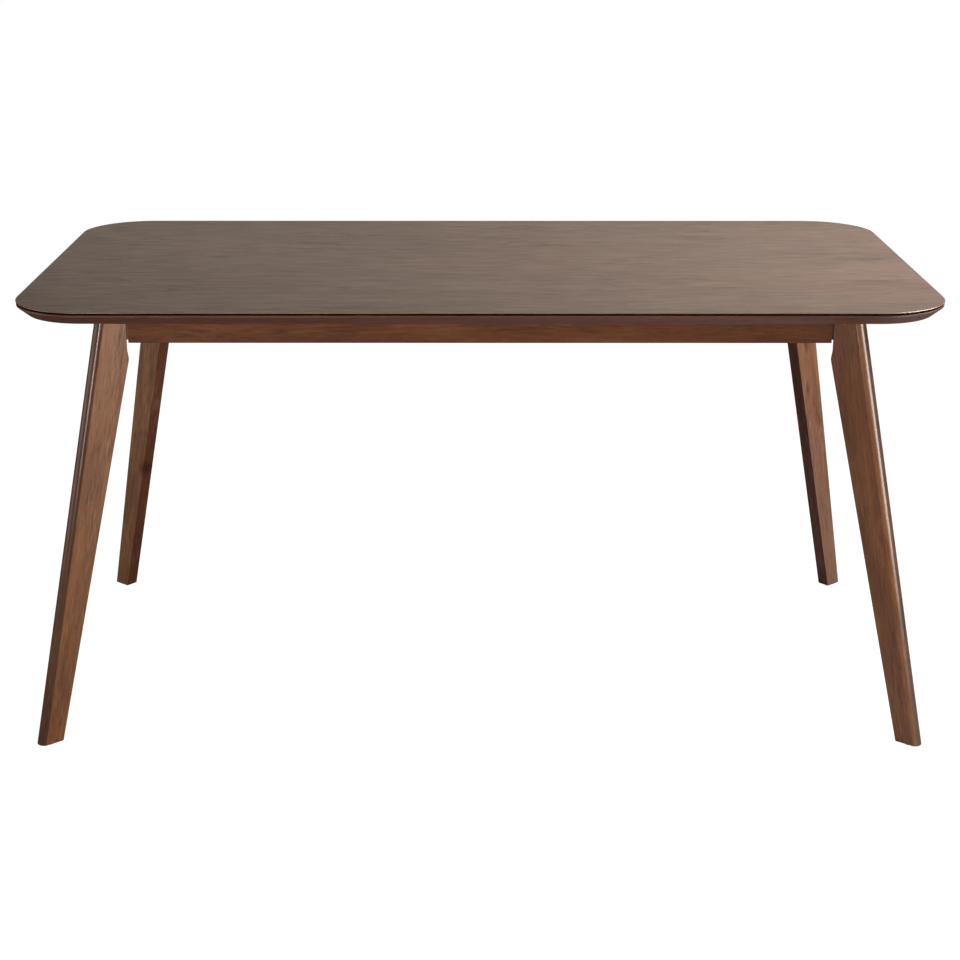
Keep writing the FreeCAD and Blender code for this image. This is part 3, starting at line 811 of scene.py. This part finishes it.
def makeClips(seats):
    # bent strip: the tongue along -x in the apron's slot, the flange along x under the top
    gauge, bend, drop = clip["gauge"], clip["bend"], clip["step"]
    near = clip["standoff"]
    far = near + gauge
    outer = bend + gauge / 2
    outline = [(-clip["tongue"], -drop), (-clip["tongue"], -drop - gauge)]
    wide, tight = clip["outerSteps"], clip["innerSteps"]
    outline += arc((far - outer, outer - drop - gauge), outer, 270, 360, wide)
    outline += arc((far + bend / 2, -gauge - bend / 2), bend / 2, 180, 90, tight)
    outline += [(near + clip["flange"], -gauge), (near + clip["flange"], 0.0)]
    outline += arc((near + outer, -outer), outer, 90, 180, wide)
    outline += arc((near - bend / 2, bend / 2 - drop), bend / 2, 0, -90, tight)
    bm = bmesh.new()
    half = clip["width"] / 2
    addSolid(bm, [[(x, side, z) for x, z in outline] for side in (-half, half)])
    rims = [edge for edge in bm.edges if edge.verts[0].co.y == edge.verts[1].co.y]
    bmesh.ops.bevel(bm, geom=rims, offset=clip["soft"], segments=clip["softSteps"],
                    profile=0.5, affect="EDGES")
    zincPiece("topClips", bm, "top_clips", seats, smoothAngle=30)


# heights and radii in mm: nail's head in a shallow dish, rim, top, nail and its point
glide = dict(
    head=((0.25, 3.0), (0.5, 3.4)), dish=((0.5, 5.2), (0.0, 6.0)),
    rim=((0.0, 8.6), (0.25, 9.3), (0.7, 9.8), (1.2, 10.0), (2.0, 10.0)),
    nail=((2.0, 1.3), (15.0, 1.3), (18.0, 0.1)), round=40,
)


def makeGlides(seats):
    profile = glide["head"] + glide["dish"] + glide["rim"] + glide["nail"]
    turns = [math.tau * step / glide["round"] for step in range(glide["round"])]
    bm = bmesh.new()
    addSolid(bm, [[about(x * mm, radius * mm, turn) for turn in turns]
                  for x, radius in profile])
    newPiece("footGlides", bm, [plainMaterial("glidePlastic", glideLook)],
             ["foot_glides"], smoothAngle=40, seats=seats)


# seats of the fittings, where the CAD has them

frameLines = dict(
    innerX=573 * mm, innerY=245 * mm, underside=728 * mm, wing=14 * mm,
    wingHeights=(714 * mm, 688 * mm), screwX=519.83 * mm, screwY=195.77 * mm,
    longShares=(-0.33, -0.11, 0.11, 0.33), halfLength=593 * mm,
)


def boltSeats():
    return [legSeat(corner) @ Matrix.Translation((0, 0, height))
            for corner in corners for height in fitting["boltHeights"]]


def facing(place, degrees):
    return Matrix.Translation(place) @ Matrix.Rotation(math.radians(degrees), 4, "Z")


def blockScrewSeats():
    seats = []
    line = frameLines
    for sx, sy in corners.values():
        wingX, wingY = sx * (line["innerX"] - line["wing"]), sy * (line["innerY"] - line["wing"])
        for height in line["wingHeights"]:
            seats.append(facing((sx * line["screwX"], wingY, height), 90 * sy))
            seats.append(facing((wingX, sy * line["screwY"], height), 90 - 90 * sx))
    return seats


def clipSeats():
    line = frameLines
    seats = []
    for share in line["longShares"]:
        x = share * 2 * line["halfLength"]
        seats.append(facing((x, -line["innerY"], line["underside"]), 90))
        seats.append(facing((x, line["innerY"], line["underside"]), -90))
    seats.append(facing((-line["innerX"], 0, line["underside"]), 0))
    seats.append(facing((line["innerX"], 0, line["underside"]), 180))
    return seats


upward = Matrix.Rotation(math.radians(-90), 4, "Y")  # turns x to z


def clipScrewSeats():
    middle = clip["standoff"] + clip["gauge"] + (clip["flange"] - clip["gauge"]) / 2
    under = Matrix.Translation((middle, 0, -clip["gauge"]))
    return [seat @ under @ upward for seat in clipSeats()]


def glideSeats():
    middle = Matrix.Translation((legOuterEdge(leg["foot"]) - leg["footWidth"] / 2, 0, 0))
    return [legSeat(corner) @ middle @ upward for corner in corners]


zinc = plainMaterial("zincSteel", zincLook)
makeBolts(boltSeats())
makeNuts(boltSeats())
makeWashers(boltSeats())
makeBlockScrews(blockScrewSeats())
makeClips(clipSeats())
makeClipScrews(clipScrewSeats())
makeGlides(glideSeats())
print("fittings made")


# studio: soft lights, the photo's camera, and a floor and surroundings that only the camera
# sees white

studio = dict(
    floorSize=14.0, floorBounce=0.30, floorGlow=1.0, floorRough=0.9, paperScale=(3, 3, 3),
    paperTones=((0.3, (0.12, 0.12, 0.12)), (0.7, (0.13, 0.13, 0.13))), surround=0.06,
)


def makeFloor():
    bm = bmesh.new()
    bmesh.ops.create_grid(bm, x_segments=1, y_segments=1, size=studio["floorSize"] / 2)
    mesh = bpy.data.meshes.new("floor")
    bm.to_mesh(mesh)
    bm.free()
    floor = bpy.data.objects.new("floor", mesh)
    bpy.context.scene.collection.objects.link(floor)
    material, tree, shader = startMaterial("floorPaper")
    place = node(tree, "ShaderNodeTexCoord").outputs["Object"]
    paper = cloud(tree, stretched(tree, place, studio["paperScale"]), detail=3.0)
    seen = node(tree, "ShaderNodeLightPath").outputs["Is Camera Ray"]
    bright = ramp(tree, paper, studio["paperTones"])
    dim = (studio["floorBounce"],) * 3
    tree.links.new(blended(tree, seen, dim, bright), shader.inputs["Base Color"])
    shader.inputs["Roughness"].default_value = studio["floorRough"]
    shader.inputs["Specular IOR Level"].default_value = 0.0
    shader.inputs["Emission Color"].default_value = (1, 1, 1, 1)
    glow = calc(tree, "MULTIPLY", seen, studio["floorGlow"])
    tree.links.new(glow, shader.inputs["Emission Strength"])
    mesh.materials.append(material)


def makeWorld():
    world = bpy.data.worlds.new("studioWorld")
    bpy.context.scene.world = world
    world.use_nodes = True
    tree = world.node_tree
    tree.nodes.clear()
    output = tree.nodes.new("ShaderNodeOutputWorld")
    seen = node(tree, "ShaderNodeBackground", {"Color": (1, 1, 1, 1), "Strength": 1.0})
    lit = node(tree, "ShaderNodeBackground",
               {"Color": (1, 1, 1, 1), "Strength": studio["surround"]})
    path = node(tree, "ShaderNodeLightPath")
    mixed = node(tree, "ShaderNodeMixShader",
                 {0: path.outputs["Is Camera Ray"], 1: lit.outputs[0], 2: seen.outputs[0]})
    tree.links.new(mixed.outputs[0], output.inputs["Surface"])


# softboxes, with powers in watts that were set against the photo's tones
lights = dict(
    backWall=dict(size=(4.0, 1.6), power=25.5, place=(0.0, 4.2, 1.9), aim=(0, 0, 0.7),
                  colour=(1.0, 0.83, 0.69)),
    topRight=dict(size=(1.0, 1.0), power=22.3, spread=110, place=(1.6, -0.1, 1.7),
                  aim=(0.7, 0, 0.75)),
    leftLow=dict(size=(1.8, 1.4), power=10, spread=100, place=(-3.0, -0.8, 0.9),
                 aim=(0, 0, 0.7), colour=(1.0, 0.92, 0.86)),
    frontLeft=dict(size=(0.35, 0.7), power=7.2, spread=90, place=(-1.55, -3.3, 0.95),
                   aim=(0.0, -0.2, 0.75), colour=(1.0, 0.90, 0.85)),
    frontClose=dict(size=(0.4, 0.4), power=1.2, spread=45, place=(1.3, -1.7, 0.70),
                    aim=(-0.6, -0.3, 0.74)),
    frontLow=dict(size=(1.4, 1.2), power=26.5, spread=100, place=(2.6, -2.4, 0.8),
                  aim=(0.0, -0.2, 0.75), colour=(1.0, 0.89, 0.82)),
)


def softbox(name, look):
    data = bpy.data.lights.new(name, "AREA")
    data.shape = "RECTANGLE"
    data.size, data.size_y = look["size"]
    data.energy = look["power"]
    data.color = look.get("colour", (1, 1, 1))
    data.spread = math.radians(look.get("spread", 180))
    lamp = bpy.data.objects.new(name, data)
    bpy.context.scene.collection.objects.link(lamp)
    lamp.location = look["place"]
    aim = Vector(look["aim"]) - Vector(look["place"])
    lamp.rotation_euler = aim.to_track_quat("-Z", "Y").to_euler()


makeFloor()
makeWorld()
for lampName, lampLook in lights.items():
    softbox(lampName, lampLook)

view = dict(
    focalPixels=1900.7, imagePixels=960, sensor=36.0, place=(-0.01812, -3.29889, 1.41936),
    pitch=0.31591, yaw=-0.00135, axisPixel=(466.31, 482.47),
)


def makeCamera():
    data = bpy.data.cameras.new("photoCamera")
    data.sensor_width = view["sensor"]
    data.lens = view["focalPixels"] / view["imagePixels"] * view["sensor"]
    half = view["imagePixels"] / 2
    data.shift_x = (half - view["axisPixel"][0]) / view["imagePixels"]
    data.shift_y = (view["axisPixel"][1] - half) / view["imagePixels"]
    camera = bpy.data.objects.new("photoCamera", data)
    bpy.context.scene.collection.objects.link(camera)
    camera.location = view["place"]
    camera.rotation_euler = Euler((math.pi / 2 - view["pitch"], 0, -view["yaw"]))
    bpy.context.scene.camera = camera


makeCamera()
bpy.context.scene.view_settings.view_transform = "Standard"
print("studio ready")
